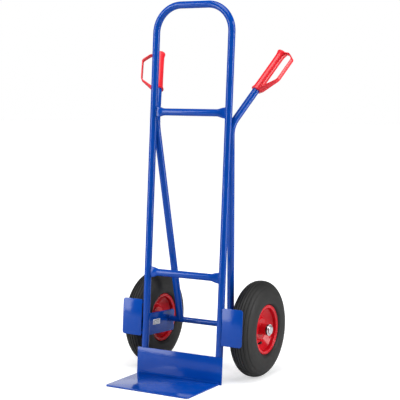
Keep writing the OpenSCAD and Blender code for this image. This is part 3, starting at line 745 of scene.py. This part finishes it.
def rim(side, matrix):
    lip = [(LIP_X + p.x, RIM_EDGE_R + p.y) for p in circle(LIP_R, 20)]
    for half, flip in (("outer", Matrix.Identity(4)), ("inner", MIRRORED)):
        bm = joined([turned(rim_outline()), turned(lip)])
        piece(bm, f"{side}_{half}_rim_disc", side + "_wheel", RIM_RED, [f"{side}_{half}_rim_half"],
              matrix=matrix @ flip)


def hub_seam(side, matrix):
    at = BOSS_H + RIM_T / 2
    seams = [bead(ring_about_x(x, HUB_R, 60), X, HUB_SEAM_R, closed=True) for x in (at, -at)]
    piece(joined(seams), side + "_hub_seams", side + "_wheel", RIM_RED,
          matrix=matrix)


def hub_pieces(side):
    for end, name in (("hub_tube", "hub_sleeve"), ("outer_bush", "outer_hub_bush"),
                      ("inner_bush", "inner_hub_bush")):
        node = f"{side}_{end}"
        piece(from_cad(node, 0.0005), f"{side}_{name}", side + "_wheel",
              BY_SLOT[SLOT_OF[node]], [node])


def wheel(side, matrix):
    at = matrix @ WHEEL_AT
    tyre(side, at)
    rim(side, at)
    hub_seam(side, at)
    hub_pieces(side)


def axle_cap(side, matrix):
    """Pressed cap: a flat flange, a short wall and a shallow dome."""
    lo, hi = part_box("right_axle_cap")
    base, tip = lo.x, hi.x
    flange_r = (hi.z - lo.z) / 2
    dome_r, sheet, bore = flange_r - 0.005, 0.0012, AXLE_R + 0.0001
    outside = rounded([Vector(p + (0,)) for p in (
        (base, bore), (base, flange_r), (base + sheet, flange_r), (base + sheet, dome_r),
        (tip - 0.0012, dome_r - 0.0006), (tip - 0.0001, dome_r * 0.55), (tip, 0))],
        [0.0002, 0.0005, 0.0009, 0.0022, 0.006], math.radians(12))
    inside = [(tip - sheet, 0), (tip - 0.003, dome_r - 0.003),
              (base + sheet, dome_r - sheet), (base + sheet, bore)]
    bm = turned([(p.x, p.y) for p in outside] + inside, 72)
    shift = Matrix.Translation((0, AXLE_AT.y, AXLE_AT.z))
    piece(bm, side + "_hub_cap", "frame", ZINC, [side + "_axle_cap"], matrix=matrix @ shift)


def valve(side, matrix):
    """The valve's rubber stem and ridged cap, along the line through their two CAD nodes."""
    stem_lo, stem_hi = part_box("right_valve_stem")
    cap_lo, cap_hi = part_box("right_valve_cap")
    stem, cap = (stem_lo + stem_hi) / 2, (cap_lo + cap_hi) / 2
    along = (cap - stem).normalized()
    aside = along.cross(X).normalized()
    stem_l, cap_l, stem_r, cap_r = 0.037, 0.009, 0.0043, 0.005
    radii = [(0.0, 0.9), (0.55, 0.9), (0.60, 1.0), (0.66, 1.0), (0.70, 0.82), (0.95, 0.72),
             (1.0, 0.66)]
    line = [stem + along * stem_l * (t - 0.5) for t, _ in radii]
    bm = sweep(circle(stem_r, 24), frames_on(line, aside, [r for _, r in radii]))
    piece(bm, side + "_valve_rubber", side + "_wheel", BLACK_RUBBER, [side + "_valve_stem"],
          matrix=matrix)
    ridged = [p * (1.0 if i % 3 else 0.93) for i, p in enumerate(circle(cap_r, 54))]
    sizes = [(0.0, 0.86), (0.06, 0.95), (0.2, 0.98), (0.85, 0.94), (0.95, 0.86), (1.0, 0.66)]
    line = [cap + along * cap_l * (t - 0.5) for t, _ in sizes]
    bm = sweep(ridged, frames_on(line, aside, [r for _, r in sizes]))
    piece(bm, side + "_valve_lid", side + "_wheel", NYLON, [side + "_valve_cap"],
          matrix=matrix)


def label():
    lo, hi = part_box("label")
    centre = (lo + hi) / 2
    film = label_film("label_film", centre, hi.y - lo.y, hi.z - lo.z)
    piece(from_cad("label", 0.0001, 1), "label_film", "frame", film, ["label"])


def hidden_pieces():
    """Every CAD node takes its slot's finish. Those inside the wheels keep their CAD shape."""
    for name, node in frame["nodes"].items():
        node.data.materials.clear()
        node.data.materials.append(BY_SLOT.get(SLOT_OF[name], NYLON))


def both(make):
    """Calls make for the right side, and for the left with a mirror."""
    make("right", Matrix.Identity(4))
    make("left", MIRRORED)


# ---------------------------------------------------------------- stage

GLOW_WAY = (-0.48, 0.85, 0.21)
FLOOR_R = 40.0
FLOOR_GAP = 0.0003
LIGHTS_AIM = Vector((0, 0, 0.6))
EYE_AT = Vector((1.9781, -3.3787 + FOOT_Y, 0.9749))
EYE_YAW, EYE_PITCH, EYE_ROLL = (math.radians(d) for d in (29.455, -5.125, 0.6))


def studio():
    """A white world with one brighter patch behind the truck."""
    scene = bpy.context.scene
    scene.view_settings.view_transform = "Standard"
    world = bpy.data.worlds.new("studio")
    scene.world = world
    world.use_nodes = True
    sky = Nodes(world.node_tree)
    background = sky.tree.nodes["Background"].inputs
    way = sky.node("ShaderNodeTexCoord", out="Generated")
    behind = sky.node("ShaderNodeVectorMath", {"operation": "DOT_PRODUCT"},
                      {0: way, 1: GLOW_WAY}, 1)
    glow = sky.ramp(behind, 0.94, 0.98, 0.12, 0.95)
    seen = sky.node("ShaderNodeLightPath", out="Is Camera Ray")
    sky.put(background["Color"], (1, 1, 1, 1))
    sky.put(background["Strength"], sky.ramp(seen, 0.0, 1.0, glow, 1.0))


def pale_ground():
    """A wide disc under the truck, whose own glow only the camera sees."""
    bm = bmesh.new()
    bmesh.ops.create_circle(bm, cap_ends=True, segments=96, radius=FLOOR_R)
    mesh = bpy.data.meshes.new("floor")
    bm.to_mesh(mesh)
    bm.free()
    floor = bpy.data.objects.new("floor", mesh)
    floor.location.z = -FLOOR_GAP
    bpy.context.scene.collection.objects.link(floor)
    pale = Finish("pale_floor", {"Roughness": 0.7, "Specular IOR Level": 0.1})
    at = pale.node("ShaderNodeTexCoord", out="Object")
    away = pale.ramp(pale.node("ShaderNodeVectorMath", {"operation": "LENGTH"}, {0: at}, 1),
                     0.5, 2.2)
    pale.set("Base Color", (0.80, 0.81, 0.82, 1))
    pale.set("Emission Color", pale.mix(away, shade((1, 1, 1), 0.50), shade((1, 1, 1), 0.92)))
    pale.set("Emission Strength", pale.node("ShaderNodeLightPath", out="Is Camera Ray"))
    mesh.materials.append(pale.material)


def softbox(name, azimuth, elevation, distance, width, height, power):
    """A rectangular light that faces the truck; azimuth 0 is in front and 90 on its right."""
    a, e = math.radians(azimuth), math.radians(elevation)
    back = Vector((math.sin(a) * math.cos(e), -math.cos(a) * math.cos(e), math.sin(e)))
    light = bpy.data.lights.new(name, "AREA")
    light.shape = "RECTANGLE"
    light.size, light.size_y, light.energy = width, height, power
    lamp = bpy.data.objects.new(name, light)
    lamp.location = LIGHTS_AIM + back * distance
    lamp.rotation_euler = back.to_track_quat("Z", "Y").to_euler()
    lamp.visible_camera = False
    bpy.context.scene.collection.objects.link(lamp)


def camera():
    data = bpy.data.cameras.new("camera")
    data.sensor_width, data.lens = 36.0, 103.0
    eye = bpy.data.objects.new("camera", data)
    eye.matrix_world = (Matrix.Translation(EYE_AT) @ Matrix.Rotation(EYE_YAW, 4, "Z")
                        @ Matrix.Rotation(math.pi / 2 + EYE_PITCH, 4, "X")
                        @ Matrix.Rotation(EYE_ROLL, 4, "Z"))
    bpy.context.scene.collection.objects.link(eye)
    bpy.context.scene.camera = eye


camera()
studio()
pale_ground()
softbox("left_softbox", -42, 16, 3.2, 1.2, 2.8, 72)
softbox("right_softbox", 104, 16, 3.2, 1.2, 2.8, 80)
softbox("top_softbox", 20, 72, 3.4, 2.4, 2.4, 84)

hidden_pieces()
frame_tube()
crossbar("upper_crossbar", "upper_bar")
crossbar("middle_crossbar", "middle_bar")
both(handle_tube)
plates()
axle_pieces()
frame_welds()
toe_seam()
guard_seams()
bracket_seams()
axle_seams()
both(grip)
both(axle_cap)
both(valve)
label()
both(wheel)
